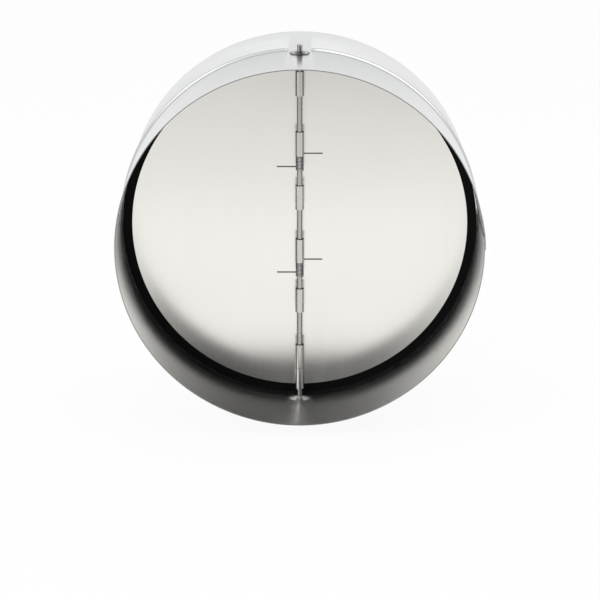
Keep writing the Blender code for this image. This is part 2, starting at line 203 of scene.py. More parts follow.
def new_finish(name, base, metallic, roughness):
    """A named material; returns its node tree and its Principled shader."""
    finish = bpy.data.materials.new(name)
    finish.use_nodes = True
    tree = finish.node_tree
    shader = tree.nodes["Principled BSDF"]
    shader.inputs["Base Color"].default_value = (*base, 1.0)
    shader.inputs["Metallic"].default_value = metallic
    shader.inputs["Roughness"].default_value = roughness
    return finish, tree, shader


def noise(tree, stretch, scale, detail=3.0):
    """Noise in object space; stretch is the pattern's scale along X, Y and Z."""
    coordinates = tree.nodes.new("ShaderNodeTexCoord")
    mapping = tree.nodes.new("ShaderNodeMapping")
    mapping.inputs["Scale"].default_value = stretch
    tree.links.new(coordinates.outputs["Object"], mapping.inputs["Vector"])
    texture = tree.nodes.new("ShaderNodeTexNoise")
    texture.inputs["Scale"].default_value = scale
    texture.inputs["Detail"].default_value = detail
    tree.links.new(mapping.outputs["Vector"], texture.inputs["Vector"])
    return texture.outputs["Fac"]


def mapped(tree, value, low, high, first=0.0, last=1.0, smooth=False):
    """Value turned from the range low to high into the range first to last."""
    ranged = tree.nodes.new("ShaderNodeMapRange")
    if smooth:
        ranged.interpolation_type = "SMOOTHSTEP"
    for socket, limit in (("From Min", low), ("From Max", high), ("To Min", first), ("To Max", last)):
        ranged.inputs[socket].default_value = limit
    tree.links.new(value, ranged.inputs["Value"])
    return ranged.outputs["Result"]


def ramp(tree, value, low, high, smooth=False):
    """Value turned into a share, 0 at low and 1 at high."""
    return mapped(tree, value, low, high, smooth=smooth)


def spread(tree, value, low, high):
    """Map a noise value, which keeps near its middle, to the range from low to high."""
    return mapped(tree, value, NOISE_LOW, NOISE_HIGH, low, high)


def tint(tree, value, base, low, high):
    """Base colour that varies between low and high times its brightness."""
    mixed = tree.nodes.new("ShaderNodeMix")
    mixed.data_type = "RGBA"
    mixed.inputs["A"].default_value = (*[channel * low for channel in base], 1.0)
    mixed.inputs["B"].default_value = (*[min(1.0, channel * high) for channel in base], 1.0)
    tree.links.new(spread(tree, value, 0.0, 1.0), mixed.inputs["Factor"])
    return mixed.outputs["Result"]


def relief(tree, shader, height, distance, strength):
    """Fine bump from one height value."""
    bump = tree.nodes.new("ShaderNodeBump")
    bump.inputs["Distance"].default_value = distance
    bump.inputs["Strength"].default_value = strength
    tree.links.new(height, bump.inputs["Height"])
    tree.links.new(bump.outputs["Normal"], shader.inputs["Normal"])


def product(tree, first, second):
    scaled = tree.nodes.new("ShaderNodeMath")
    scaled.operation = "MULTIPLY"
    tree.links.new(first, scaled.inputs[0])
    tree.links.new(second, scaled.inputs[1])
    return scaled.outputs["Value"]


def darkened(tree, shade, share, strength):
    """The colour, times strength where share is 1."""
    scaled = tree.nodes.new("ShaderNodeVectorMath")
    scaled.operation = "SCALE"
    tree.links.new(shade, scaled.inputs["Vector"])
    tree.links.new(mapped(tree, share, 0.0, 1.0, 1.0, strength), scaled.inputs["Scale"])
    return scaled.outputs["Vector"]


def object_place(tree):
    """X, Y and Z in object space."""
    coordinates = tree.nodes.new("ShaderNodeTexCoord")
    parts = tree.nodes.new("ShaderNodeSeparateXYZ")
    tree.links.new(coordinates.outputs["Object"], parts.inputs["Vector"])
    return [parts.outputs[axis] for axis in "XYZ"]


def unsigned(tree, value):
    """The value without its sign."""
    bare = tree.nodes.new("ShaderNodeMath")
    bare.operation = "ABSOLUTE"
    tree.links.new(value, bare.inputs[0])
    return bare.outputs["Value"]


def from_shaft(tree):
    """Distance of a point from the shaft's axis."""
    coordinates = tree.nodes.new("ShaderNodeTexCoord")
    flat = tree.nodes.new("ShaderNodeVectorMath")
    flat.operation = "MULTIPLY_ADD"
    flat.inputs[1].default_value = (1.0, 1.0, 0.0)
    flat.inputs[2].default_value = -shaft_centre()
    tree.links.new(coordinates.outputs["Object"], flat.inputs[0])
    size = tree.nodes.new("ShaderNodeVectorMath")
    size.operation = "LENGTH"
    tree.links.new(flat.outputs["Vector"], size.inputs[0])
    return size.outputs["Value"]


def shaded_flanks(tree, shade, away, reach, strength):
    """Painted shade: a darker strip up each side of what lies within reach of the shaft's axis."""
    axis = shaft_centre().y
    along = object_place(tree)[1]
    strip = product(tree, ramp(tree, along, axis - 0.0034, axis - 0.0014, True),
                    ramp(tree, along, axis + 0.0008, axis + 0.0002))
    near = ramp(tree, away, reach + 0.0002, reach)
    return darkened(tree, shade, product(tree, strip, near), strength)


def galvanised_sheet():
    """Satin zinc with a faint cloud, a grain that runs round the sleeve and dark cut edges."""
    chosen = sizes("finishes")
    finish, tree, shader = new_finish("galvanised_sheet", chosen.sleeve, 1.0, chosen.sleeve_gloss)
    cloud = noise(tree, (1.0, 1.0, 1.0), 26.0)
    grain = noise(tree, (8.0, 900.0, 8.0), 1.0, 2.0)
    end = sizes("sleeve").length / 2
    cut_edge = ramp(tree, unsigned(tree, object_place(tree)[1]), end - 0.0006, end - 0.0002)
    clouded = tint(tree, cloud, chosen.sleeve, 0.985, 1.015)
    tree.links.new(darkened(tree, clouded, cut_edge, CUT_EDGE_SHADE), shader.inputs["Base Color"])
    tree.links.new(spread(tree, grain, chosen.sleeve_gloss - 0.03, chosen.sleeve_gloss + 0.03),
                   shader.inputs["Roughness"])
    relief(tree, shader, grain, 0.00002, 0.25)
    return finish


def rolled_aluminium():
    """Satin sheet, slightly warm, with fine rolling lines; painted shade darkens the knuckles, their bores
    and a strip up each side of them.
    """
    chosen = sizes("finishes")
    finish, tree, shader = new_finish("rolled_aluminium", chosen.blade, 1.0, chosen.blade_gloss)
    cloud = noise(tree, (1.0, 1.0, 0.6), 14.0)
    grain = noise(tree, (1100.0, 1100.0, 7.0), 1.0, 2.0)
    away = from_shaft(tree)
    outside = sizes("blades").roll
    clouded = tint(tree, cloud, chosen.blade, 0.99, 1.01)
    # Painted shade: the knuckles a little darker, their bores much darker
    rolled = darkened(tree, clouded, ramp(tree, away, outside + 0.0012, outside + 0.0004), KNUCKLE_PAINTED_SHADE)
    bored = darkened(tree, rolled, ramp(tree, away, outside - 0.0001, outside - 0.0003), BORE_PAINTED_SHADE)
    tree.links.new(shaded_flanks(tree, bored, away, outside + 0.0005, KNUCKLE_FLANK_PAINTED_SHADE),
                   shader.inputs["Base Color"])
    tree.links.new(spread(tree, grain, chosen.blade_gloss - 0.015, chosen.blade_gloss + 0.015),
                   shader.inputs["Roughness"])
    relief(tree, shader, grain, 0.00001, 0.1)
    return finish


def seal_rubber():
    """Matt black rubber with a fine moulded grain."""
    chosen = sizes("finishes")
    finish, tree, shader = new_finish("seal_rubber", chosen.rubber, 0.0, 0.62)
    shader.inputs["Specular IOR Level"].default_value = 0.10
    grain = noise(tree, (1.0, 1.0, 1.0), 900.0, 2.0)
    tree.links.new(tint(tree, grain, chosen.rubber, 0.8, 1.2), shader.inputs["Base Color"])
    relief(tree, shader, grain, 0.00005, 0.4)
    return finish


def plated_steel():
    """Bright zinc plating with turned lines; painted shade on the washers' rims and up the shaft's sides."""
    chosen = sizes("finishes")
    finish, tree, shader = new_finish("plated_steel", chosen.shaft, 1.0, 0.24)
    lines = noise(tree, (60.0, 60.0, 2600.0), 1.0, 2.0)
    lined = tint(tree, lines, chosen.shaft, 0.92, 1.08)
    edge = sizes("shaft").washer_radius
    away = from_shaft(tree)
    # Painted shade on the washers' rims
    rimmed = darkened(tree, lined, ramp(tree, away, edge - 0.0008, edge - 0.0003), WASHER_RIM_PAINTED_SHADE)
    reach = sizes("shaft").radius + 0.0002
    tree.links.new(shaded_flanks(tree, rimmed, away, reach, SHAFT_FLANK_PAINTED_SHADE), shader.inputs["Base Color"])
    tree.links.new(spread(tree, lines, 0.18, 0.30), shader.inputs["Roughness"])
    relief(tree, shader, lines, 0.00001, 0.25)
    return finish


def spring_wire():
    """Drawn wire with a mottled surface, with a painted highlight along the middle of the coils and painted
    shade elsewhere.
    """
    chosen = sizes("finishes")
    finish, tree, shader = new_finish("spring_wire", chosen.spring, 1.0, 0.34)
    stain = noise(tree, (1.0, 1.0, 1.0), 700.0, 3.0)
    stained = tint(tree, stain, chosen.spring, 0.85, 1.15)
    # Painted highlight along the middle of the coils, painted shade away from it and on the legs
    aside = ramp(tree, unsigned(tree, object_place(tree)[0]), 0.0002, 0.0040)
    tree.links.new(darkened(tree, stained, aside, WIRE_PAINTED_SHADE), shader.inputs["Base Color"])
    tree.links.new(spread(tree, stain, 0.28, 0.40), shader.inputs["Roughness"])
    return finish


FINISH_MAKERS = {
    "galvanised_steel": galvanised_sheet,
    "black_rubber": seal_rubber,
    "aluminium_sheet": rolled_aluminium,
    "bright_steel": plated_steel,
    "spring_steel": spring_wire,
}
CREASE = math.radians(30.0)
made_finishes = {}


def finish_for(slot):
    if slot not in made_finishes:
        made_finishes[slot] = FINISH_MAKERS[slot]()
    return made_finishes[slot]


def add_piece(name, shape, body, node, slot):
    """Turn a bmesh in the row frame into a piece that stands for a CAD node and rides on its body."""
    mesh = bpy.data.meshes.new(name)
    shape.to_mesh(mesh)
    shape.free()
    mesh.materials.append(finish_for(slot))
    mesh.shade_smooth()
    mesh.set_sharp_from_angle(angle=CREASE)
    piece = bpy.data.objects.new(name, mesh)
    bpy.context.collection.objects.link(piece)
    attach(piece, body)
    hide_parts(node)
    return piece


def add_closed_piece(name, shape, body, node, slot):
    """Add a closed shape, with its faces pointing outwards."""
    bmesh.ops.recalc_face_normals(shape, faces=shape.faces)
    add_piece(name, shape, body, node, slot)


# Shapes that several pieces share
SLEEVE_STEPS = 360
RING_STEPS = 240
SHAFT_STEPS = 64
CUT_REACH = 1e-7
SAME_PLACE = 1e-6
ACROSS = Vector((1.0, 0.0, 0.0))


def closed_profile(shape, points):
    """A closed loop of edges through points; returns its vertices and edges."""
    corners = [shape.verts.new(point) for point in points]
    edges = [shape.edges.new(pair) for pair in zip(corners, corners[1:] + corners[:1])]
    return corners + edges


def turn_profile(shape, points, centre, axis, steps):
    """Spin a closed loop of edges right round an axis."""
    bmesh.ops.spin(shape, geom=closed_profile(shape, points), cent=centre, axis=axis,
                   angle=math.tau, steps=steps, use_merge=True)


def on_sleeve(radius, along):
    return Vector((radius, along, 0.0))


def on_shaft(radius, height):
    return Vector((radius, -sizes("shaft").offset, height))


def shaft_centre():
    return Vector((0.0, -sizes("shaft").offset, 0.0))


def grow(shape, face, step):
    """Extrude one face by a transform and return the new end face."""
    grown = bmesh.ops.extrude_face_region(shape, geom=[face])["geom"]
    end = next(item for item in grown if isinstance(item, bmesh.types.BMFace))
    bmesh.ops.transform(shape, matrix=step, verts=end.verts)
    return end


def turn_about(centre, amount, rise=0.0):
    """Rotation by an amount in radians about an upright axis through centre, with a rise along it."""
    turn = Matrix.Rotation(amount, 4, "Z")
    return Matrix.Translation(centre + Vector((0.0, 0.0, rise))) @ turn @ Matrix.Translation(-centre)


def wire_section(shape, centre, normal, radius, sides):
    """A round face across the wire; normal is the wire's direction."""
    place = Matrix.Translation(centre) @ normal.to_track_quat("Z", "Y").to_matrix().to_4x4()
    ring = bmesh.ops.create_circle(shape, cap_ends=True, radius=radius, segments=sides, matrix=place)
    return ring["verts"][0].link_faces[0]


# Sleeve
def bead_rise(along, half_width, height):
    if abs(along) >= half_width:
        return 0.0
    return height * 0.5 * (1.0 + math.cos(math.pi * along / half_width))


def sleeve_profile(sleeve, bead_steps=20, rim_round=0.00015):
    """Closed section of the sheet, with the bead in the middle and softened rims."""
    half = sleeve.length / 2
    wide = sleeve.bead_half_width
    stations = [wide * (2.0 * step / bead_steps - 1.0) for step in range(bead_steps + 1)]
    bore = sleeve.radius - sleeve.sheet
    points = [on_sleeve(sleeve.radius - rim_round, -half), on_sleeve(sleeve.radius, -half + rim_round)]
    points += [on_sleeve(sleeve.radius + bead_rise(y, wide, sleeve.bead_height), y) for y in stations]
    points += [on_sleeve(sleeve.radius, half - rim_round), on_sleeve(sleeve.radius - rim_round, half)]
    points += [on_sleeve(bore + rim_round, half), on_sleeve(bore, half - rim_round)]
    points += [on_sleeve(bore + bead_rise(y, wide, sleeve.bead_height), y) for y in reversed(stations)]
    points += [on_sleeve(bore, -half + rim_round), on_sleeve(bore + rim_round, -half)]
    return points


def cut_at_angle(shape, around):
    """Add a line of edges along the sleeve at one angle on its right-hand side."""
    near = [face for face in shape.faces if face.calc_center_median().x > 0.0]
    geometry = set(near)
    for face in near:
        geometry.update(face.edges)
        geometry.update(face.verts)
    bmesh.ops.bisect_plane(shape, geom=list(geometry), plane_co=(0.0, 0.0, 0.0),
                           plane_no=(-math.sin(around), 0.0, math.cos(around)), dist=CUT_REACH)


def lap_lifts(sleeve, arc):
    """How far the inner and outer skins are lifted at an arc length past the seam's free edge."""
    blend = 1.0 - (arc - sleeve.seam_overlap) / sleeve.seam_blend
    if arc < 0.0 or blend < 0.0:
        return 0.0, 0.0
    if arc <= sleeve.seam_overlap:
        return 0.0, sleeve.sheet
    return sleeve.sheet * blend, sleeve.sheet * blend


def lap_seam(shape, sleeve, step_width=0.0001):
    """Lift the outer ply where the sheet overlaps itself."""
    edge = sleeve.seam_edge / sleeve.radius
    inner_edge = edge + sleeve.seam_overlap / sleeve.radius
    half_step = step_width / sleeve.radius
    for around in (edge - half_step, edge + half_step, inner_edge - half_step, inner_edge + half_step):
        cut_at_angle(shape, around)
    middle = sleeve.radius - sleeve.sheet / 2
    for corner in shape.verts:
        radius = math.hypot(corner.co.x, corner.co.z)
        if corner.co.x <= 0.0 or corner.co.z < 0.0:
            continue
        arc = math.atan2(corner.co.z, corner.co.x) * sleeve.radius - sleeve.seam_edge
        rise = bead_rise(corner.co.y, sleeve.bead_half_width, sleeve.bead_height)
        inner, outer = lap_lifts(sleeve, arc)
        lift = outer if radius > middle + rise else inner
        corner.co.x *= (radius + lift) / radius
        corner.co.z *= (radius + lift) / radius


def cut_near_holes(shape, sleeve, point, normal, half_width, low, high):
    """Divide the sheet by a plane, but only beside the shaft holes and from low to high along the duct."""
    patch = set()
    for face in shape.faces:
        centre = face.calc_center_median()
        beside = abs(centre.x) < half_width and abs(centre.z) > sleeve.radius / 2
        if beside and low < centre.y < high:
            patch.update([face], face.edges, face.verts)
    bmesh.ops.bisect_plane(shape, geom=list(patch), plane_co=point, plane_no=normal, dist=CUT_REACH)


def even_cuts(reach, spacing):
    steps = round(reach / spacing)
    return [reach * number / steps for number in range(-steps, steps + 1)]


def run_out_bead(shape, sleeve, spacing=0.0005):
    """Let the bead run out on both sides of each shaft hole."""
    reach = sleeve.bead_plain + sleeve.bead_run_out
    wide = sleeve.bead_half_width
    for across in even_cuts(reach, spacing):
        if abs(across) > sleeve.bead_plain - spacing:
            cut_near_holes(shape, sleeve, (across, 0, 0), ACROSS, reach + 2 * spacing, -wide, wide)
    for corner in shape.verts:
        share = min(1.0, max(0.0, (abs(corner.co.x) - sleeve.bead_plain) / sleeve.bead_run_out))
        flat_share = 1.0 - share * share * (3.0 - 2.0 * share)
        drop = bead_rise(corner.co.y, wide, sleeve.bead_height) * flat_share
        if abs(corner.co.x) < reach and drop > 0.0:
            radius = math.hypot(corner.co.x, corner.co.z)
            corner.co.x *= (radius - drop) / radius
            corner.co.z *= (radius - drop) / radius


def press_bosses(shape, sleeve, spacing=0.00075):
    """Press the sheet inwards round the shaft holes."""
    hole_y = -sizes("shaft").offset
    reach = sleeve.boss_radius
    for cut in even_cuts(reach, spacing):
        cut_near_holes(shape, sleeve, (0, hole_y + cut, 0), ALONG_DUCT, reach, -sleeve.length, 0.0)
    for cut in even_cuts(reach, spacing):
        cut_near_holes(shape, sleeve, (cut, 0, 0), ACROSS, reach, hole_y - reach, hole_y + reach)
    bore = sleeve.radius - sleeve.sheet
    middle = sleeve.radius - sleeve.sheet / 2
    for corner in shape.verts:
        from_hole = math.hypot(corner.co.x, corner.co.y - hole_y)
        if from_hole < reach and abs(corner.co.z) > sleeve.radius / 2:
            skin = sleeve.radius if math.hypot(corner.co.x, corner.co.z) > middle else bore
            share = (reach - max(from_hole, sleeve.boss_top)) / (reach - sleeve.boss_top)
            height = math.sqrt(skin * skin - corner.co.x * corner.co.x) - sleeve.boss_depth * share
            corner.co.z = math.copysign(height, corner.co.z)


def open_holes(shape, sleeve):
    """Take out the sheet inside the shaft holes, round their edges off and close the hole's wall."""
    hole_y = -sizes("shaft").offset
    inside = []
    for face in shape.faces:
        centre = face.calc_center_median()
        if abs(centre.z) > sleeve.radius / 2 and math.hypot(centre.x, centre.y - hole_y) < sleeve.hole:
            inside.append(face)
    bmesh.ops.delete(shape, geom=inside, context="FACES")
    for upper in (True, False):
        edges = [edge for edge in shape.edges if edge.is_boundary and (edge.verts[0].co.z > 0.0) == upper]
        for corner in {corner for edge in edges for corner in edge.verts}:
            across = Vector((corner.co.x, corner.co.y - hole_y)).normalized() * sleeve.hole
            corner.co.x = across.x
            corner.co.y = hole_y + across.y
        bmesh.ops.bridge_loops(shape, edges=edges)


class DAMPER_OT_sleeve(bpy.types.Operator):
    """Roll the sleeve with its bead, its lap seam and its shaft holes"""
    bl_idname = "damper.sleeve"
    bl_label = "Sleeve"

    def execute(self, context):
        sleeve = sizes("sleeve")
        shape = bmesh.new()
        turn_profile(shape, sleeve_profile(sleeve), (0, 0, 0), -ALONG_DUCT, SLEEVE_STEPS)
        lap_seam(shape, sleeve)
        run_out_bead(shape, sleeve)
        press_bosses(shape, sleeve)
        open_holes(shape, sleeve)
        add_closed_piece("sleeve_sheet", shape, "sleeve", "casing", "galvanised_steel")
        return {"FINISHED"}


class DAMPER_OT_seal(bpy.types.Operator):
    """Mould the rubber ring that the blades close on, with a foot in the mouth of the bead's groove"""
    bl_idname = "damper.seal"
    bl_label = "Seal ring"

    def execute(self, context):
        sleeve = sizes("sleeve")
        bore = sleeve.radius - sleeve.sheet
        outer = bore - sleeve.ring_fit
        lip = bore - sleeve.ring_lip
        base = bore - sleeve.ring_base
        front = -sleeve.ring_width / 2
        lip_back = front + sleeve.ring_lip_sheet
        soft = 0.0006
        foot = sleeve.bead_half_width - sleeve.ring_width / 2
        section = [(lip, front + soft), (lip + soft, front), (outer - foot, front), (outer, front - foot),
                   (outer, -front), (base + soft, -front), (base, -front - soft), (base, lip_back + soft),
                   (base - soft, lip_back), (lip + soft, lip_back), (lip, lip_back - soft)]
        shape = bmesh.new()
        turn_profile(shape, [on_sleeve(*point) for point in section], (0, 0, 0), -ALONG_DUCT, RING_STEPS)
        add_closed_piece("rubber_seal", shape, "sleeve", "seal_ring", "black_rubber")
        return {"FINISHED"}


# Blades
# Height of each knuckle's middle as a share of the blades' radius
LEFT_KNUCKLE_SHARES = (0.882, 0.197, -0.439)
RIGHT_KNUCKLE_SHARES = (0.522, -0.131, -0.792)
KNUCKLE_GAP = 0.0004
CORNER_MARGIN = 0.0005


def knuckle_spans(side):
    """Low and high ends of one blade's knuckles, side being 1 for right and -1 for left."""
    blade = sizes("blades")
    half = blade.knuckle / 2
    shares = RIGHT_KNUCKLE_SHARES if side > 0 else LEFT_KNUCKLE_SHARES
    spans = [(share * blade.radius - half, share * blade.radius + half) for share in shares]
    if side < 0:
        neighbour_bottom = RIGHT_KNUCKLE_SHARES[-1] * blade.radius - half
        spans.append((CORNER_MARGIN - blade.radius, neighbour_bottom - KNUCKLE_GAP))
    return spans


def everything(shape):
    return shape.verts[:] + shape.edges[:] + shape.faces[:]


def blade_sheet(shape, side, spans, fold_line):
    """Half disc in the plane of the front face, notched where the tabs stand."""
    blade = sizes("blades")
    upright = Matrix.Translation((0.0, -blade.front, 0.0)) @ Matrix.Rotation(math.pi / 2, 4, "X")
    bmesh.ops.create_circle(shape, cap_ends=True, radius=blade.radius, segments=SLEEVE_STEPS, matrix=upright)
    bmesh.ops.bisect_plane(shape, geom=everything(shape), plane_co=(side * blade.centre_gap / 2, 0, 0),
                           plane_no=(side, 0, 0), clear_inner=True)
    bmesh.ops.bisect_plane(shape, geom=everything(shape), plane_co=(side * fold_line, 0, 0),
                           plane_no=(side, 0, 0))
    for low, high in spans:
        for height in (low - blade.relief, low, high, high + blade.relief):
            bmesh.ops.bisect_plane(shape, geom=everything(shape), plane_co=(0, 0, height),
                                   plane_no=ALONG_SHAFT)
    cut = []
    for face in shape.faces:
        centre = face.calc_center_median()
        by_tab = any(low - blade.relief < centre.z < high + blade.relief for low, high in spans)
        if abs(centre.x) < fold_line and by_tab:
            cut.append(face)
    bmesh.ops.delete(shape, geom=cut, context="FACES")


def fold_tabs(shape, side, spans, fold_line):
    """Bend each tab up from the sheet and roll it round the shaft."""
    blade = sizes("blades")
    shaft = sizes("shaft")
    outer_face = blade.centre_gap / 2 + blade.stem_inset + blade.sheet
    fold = Vector((side * fold_line, -blade.front - blade.bend, 0.0))
    lean = math.acos((outer_face + blade.neck) / (blade.roll + blade.neck))
    neck = Vector((side * (outer_face + blade.neck),
                   -shaft.offset + (blade.roll + blade.neck) * math.sin(lean), 0.0))
    inner_face = blade.centre_gap / 2 + blade.stem_inset
    roll = lean - math.acos((inner_face - blade.slit) / blade.roll) + math.tau
    roots = []
    for edge in shape.edges:
        middle = (edge.verts[0].co + edge.verts[1].co) / 2
        upright = abs(edge.verts[0].co.x - edge.verts[1].co.x) < SAME_PLACE
        in_span = any(low < middle.z < high for low, high in spans)
        if upright and in_span and abs(abs(middle.x) - fold_line) < SAME_PLACE:
            roots.append(edge)
    geometry = roots + list({corner for edge in roots for corner in edge.verts})
    turned = bmesh.ops.spin(shape, geom=geometry, cent=fold, axis=ALONG_SHAFT,
                            angle=side * math.pi / 2, steps=8)["geom_last"]
    edges = [item for item in turned if isinstance(item, bmesh.types.BMEdge)]
    grown = bmesh.ops.extrude_edge_only(shape, edges=edges)["geom"]
    tips = [item for item in grown if isinstance(item, bmesh.types.BMVert)]
    bmesh.ops.translate(shape, verts=tips, vec=(0.0, neck.y - fold.y, 0.0))
    ends = tips + [item for item in grown if isinstance(item, bmesh.types.BMEdge)
                   and all(corner in tips for corner in item.verts)]
    turned = bmesh.ops.spin(shape, geom=ends, cent=neck, axis=ALONG_SHAFT,
                            angle=side * lean, steps=6)["geom_last"]
    bmesh.ops.spin(shape, geom=turned, cent=shaft_centre(), axis=ALONG_SHAFT,
                   angle=-side * roll, steps=56)


def face_front(shape, side):
    """Point every face of the open sheet to the side of the blade's front face."""
    bmesh.ops.remove_doubles(shape, verts=shape.verts, dist=SAME_PLACE)
    bmesh.ops.recalc_face_normals(shape, faces=shape.faces)
    shape.faces.ensure_lookup_table()
    largest = max(shape.faces, key=lambda face: face.calc_area())
    if largest.normal.y > 0.0:
        bmesh.ops.reverse_faces(shape, faces=shape.faces)


def build_blade(name, side, body, node):
    blade = sizes("blades")
    spans = knuckle_spans(side)
    fold_line = blade.centre_gap / 2 + blade.stem_inset + blade.sheet + blade.bend
    shape = bmesh.new()
    blade_sheet(shape, side, spans, fold_line)
    fold_tabs(shape, side, spans, fold_line)
    face_front(shape, side)
    bmesh.ops.dissolve_limit(shape, angle_limit=math.radians(0.5), verts=shape.verts, edges=shape.edges)
    piece = add_piece(name, shape, body, node, "aluminium_sheet")
    wall = piece.modifiers.new("sheet", "SOLIDIFY")
    wall.thickness = blade.sheet
    wall.offset = -1.0
    wall.use_even_offset = True
    edge = piece.modifiers.new("cut_edge", "BEVEL")
    edge.width = 0.00015
    edge.segments = 2
    edge.limit_method = "ANGLE"
    edge.angle_limit = math.radians(40.0)
    edge.harden_normals = True


class DAMPER_OT_blades(bpy.types.Operator):
    """Cut, fold and roll the two blades"""
    bl_idname = "damper.blades"
    bl_label = "Blades"

    def execute(self, context):
        build_blade("blade_sheet_left", -1.0, "left_blade", "blade_left")
        build_blade("blade_sheet_right", 1.0, "right_blade", "blade_right")
        return {"FINISHED"}


def washer_seat():
    """Height of a washer's inner face: its rim rests on the slope of the boss."""
    sleeve = sizes("sleeve")
    shaft = sizes("shaft")
    slope = sleeve.boss_depth / (sleeve.boss_radius - sleeve.boss_top)
    return sleeve.radius - slope * max(0.0, sleeve.boss_radius - shaft.washer_radius) + shaft.seat


def clip_seat():
    shaft = sizes("shaft")
    return washer_seat() + shaft.washer_sheet + shaft.seat


class DAMPER_OT_shaft(bpy.types.Operator):
    """Turn the shaft"""
    bl_idname = "damper.shaft"
    bl_label = "Shaft"

    def execute(self, context):
        shaft = sizes("shaft")
        end = sizes("sleeve").radius + shaft.stud
        radius = shaft.radius
        floor = radius - shaft.groove
        low = clip_seat() - shaft.seat
        high = clip_seat() + shaft.clip_sheet + shaft.seat
        half = [(0.0, end), (radius - shaft.chamfer, end), (radius, end - shaft.chamfer), (radius, high),
                (floor, high), (floor, low), (radius, low)]
        section = half + [(across, -height) for across, height in reversed(half)]
        shape = bmesh.new()
        corners = [shape.verts.new(on_shaft(*point)) for point in section]
        edges = [shape.edges.new(pair) for pair in zip(corners, corners[1:])]
        bmesh.ops.spin(shape, geom=corners + edges, cent=shaft_centre(), axis=ALONG_SHAFT,
                       angle=math.tau, steps=SHAFT_STEPS, use_merge=True)
        bmesh.ops.remove_doubles(shape, verts=shape.verts, dist=SAME_PLACE)
        add_closed_piece("turned_shaft", shape, "sleeve", "shaft", "bright_steel")
        return {"FINISHED"}


def build_washer(name, node, side):
    """A washer on one stud, side being 1 at the top and -1 at the bottom."""
    shaft = sizes("shaft")
    seat = washer_seat()
    bore = shaft.radius + shaft.seat
    radius = shaft.washer_radius
    soft = 0.0002
    free = seat + shaft.washer_sheet
    section = [(bore, seat + soft), (bore + soft, seat), (radius - soft, seat), (radius, seat + soft),
               (radius, free - soft), (radius - soft, free), (bore + soft, free), (bore, free - soft)]
    shape = bmesh.new()
    turn_profile(shape, [on_shaft(across, side * height) for across, height in section],
                 shaft_centre(), ALONG_SHAFT, SHAFT_STEPS)
    add_closed_piece(name, shape, "sleeve", node, "bright_steel")


def clip_arc(radius, start, end, step=0.06):
    """Points on an arc about the shaft at the clip's inner face."""
    count = max(1, round(abs(end - start) / step))
    turns = [start + (end - start) * number / count for number in range(count + 1)]
    return [(radius * math.cos(turn), radius * math.sin(turn) - sizes("shaft").offset) for turn in turns]


def build_clip(name, node, side):
    """An open ring with three lugs in the shaft's groove and its mouth towards -Y."""
    shaft = sizes("shaft")
    first = (shaft.clip_mouth - math.pi) / 2
    last = first + math.tau - shaft.clip_mouth
    middle = (first + last) / 2
    lug = shaft.radius - shaft.groove + shaft.seat
    pocket = shaft.clip_radius - shaft.clip_band
    arc = shaft.clip_lug
    outline = clip_arc(shaft.clip_radius, first, last) + clip_arc(lug, last, last - arc)
    outline += clip_arc(pocket, last - arc, middle + arc / 2)
    outline += clip_arc(lug, middle + arc / 2, middle - arc / 2)
    outline += clip_arc(pocket, middle - arc / 2, first + arc) + clip_arc(lug, first + arc, first)
    shape = bmesh.new()
    face = shape.faces.new([shape.verts.new((x, y, side * clip_seat())) for x, y in outline])
    grow(shape, face, Matrix.Translation((0.0, 0.0, side * shaft.clip_sheet)))
    rims = [edge for edge in shape.edges if abs(edge.verts[0].co.z - edge.verts[1].co.z) < SAME_PLACE]
    bmesh.ops.bevel(shape, geom=rims, offset=0.00012, segments=2, profile=0.5, material=-1, affect="EDGES")
    add_closed_piece(name, shape, "sleeve", node, "bright_steel")


class DAMPER_OT_shaft_ends(bpy.types.Operator):
    """Set a washer and a retaining clip on each stud of the shaft"""
    bl_idname = "damper.shaft_ends"
    bl_label = "Washers and clips"

    def execute(self, context):
        for end, side in (("top", 1.0), ("bottom", -1.0)):
            build_washer(f"washer_{end}", f"flat_washer_{end}", side)
            build_clip(f"clip_{end}", f"retaining_clip_{end}", side)
        return {"FINISHED"}


# Springs
TURNS = 9.5
WIRE_SIDES = 16
STEPS_PER_TURN = 36


def build_coil(name, node, top):
    """Left-handed coil between the part turns that belong to the two legs."""
    spring = sizes("springs")
    start = spring.end_arc + sizes("shaft").seat / (spring.coil - spring.wire)
    turned = math.tau * TURNS - 2.0 * start
    steps = round(STEPS_PER_TURN * TURNS)
    centre = shaft_centre() + Vector((0.0, 0.0, top - spring.pitch * start / math.tau))
    first = centre + Vector((-spring.coil * math.cos(start), -spring.coil * math.sin(start), 0.0))
    direction = Vector((math.sin(start), -math.cos(start), 0.0))
    shape = bmesh.new()
    face = wire_section(shape, first, direction, spring.wire, WIRE_SIDES)
    step = turn_about(centre, turned / steps, -spring.pitch * turned / steps / math.tau)
    for _ in range(steps):
        face = grow(shape, face, step)
    add_closed_piece(name, shape, "sleeve", node, "spring_steel")


def build_leg(name, node, body, side, height):
    """Leg from its tip on the blade to the last part turn of the coil."""
    spring = sizes("springs")
    blade = sizes("blades")
    shaft = sizes("shaft")
    lie = -blade.front - shaft.seat - spring.wire
    bend_x = side * (spring.bend - spring.coil)
    bend_y = lie - spring.bend
    tip = Vector((side * spring.reach, lie, height))
    shape = bmesh.new()
    face = wire_section(shape, tip, Vector((-side, 0.0, 0.0)), spring.wire, WIRE_SIDES)
    face = grow(shape, face, Matrix.Translation((bend_x - tip.x, 0.0, 0.0)))
    bend_steps = 10
    for _ in range(bend_steps):
        face = grow(shape, face, turn_about(Vector((bend_x, bend_y, 0.0)), side * math.pi / 2 / bend_steps))
    face = grow(shape, face, Matrix.Translation((0.0, -shaft.offset - bend_y, 0.0)))
    arc_steps = round(STEPS_PER_TURN * spring.end_arc / math.tau)
    arc = side * spring.end_arc / arc_steps
    for _ in range(arc_steps):
        face = grow(shape, face, turn_about(shaft_centre(), arc, -spring.pitch * arc / math.tau))
    add_closed_piece(name, shape, body, node, "spring_steel")


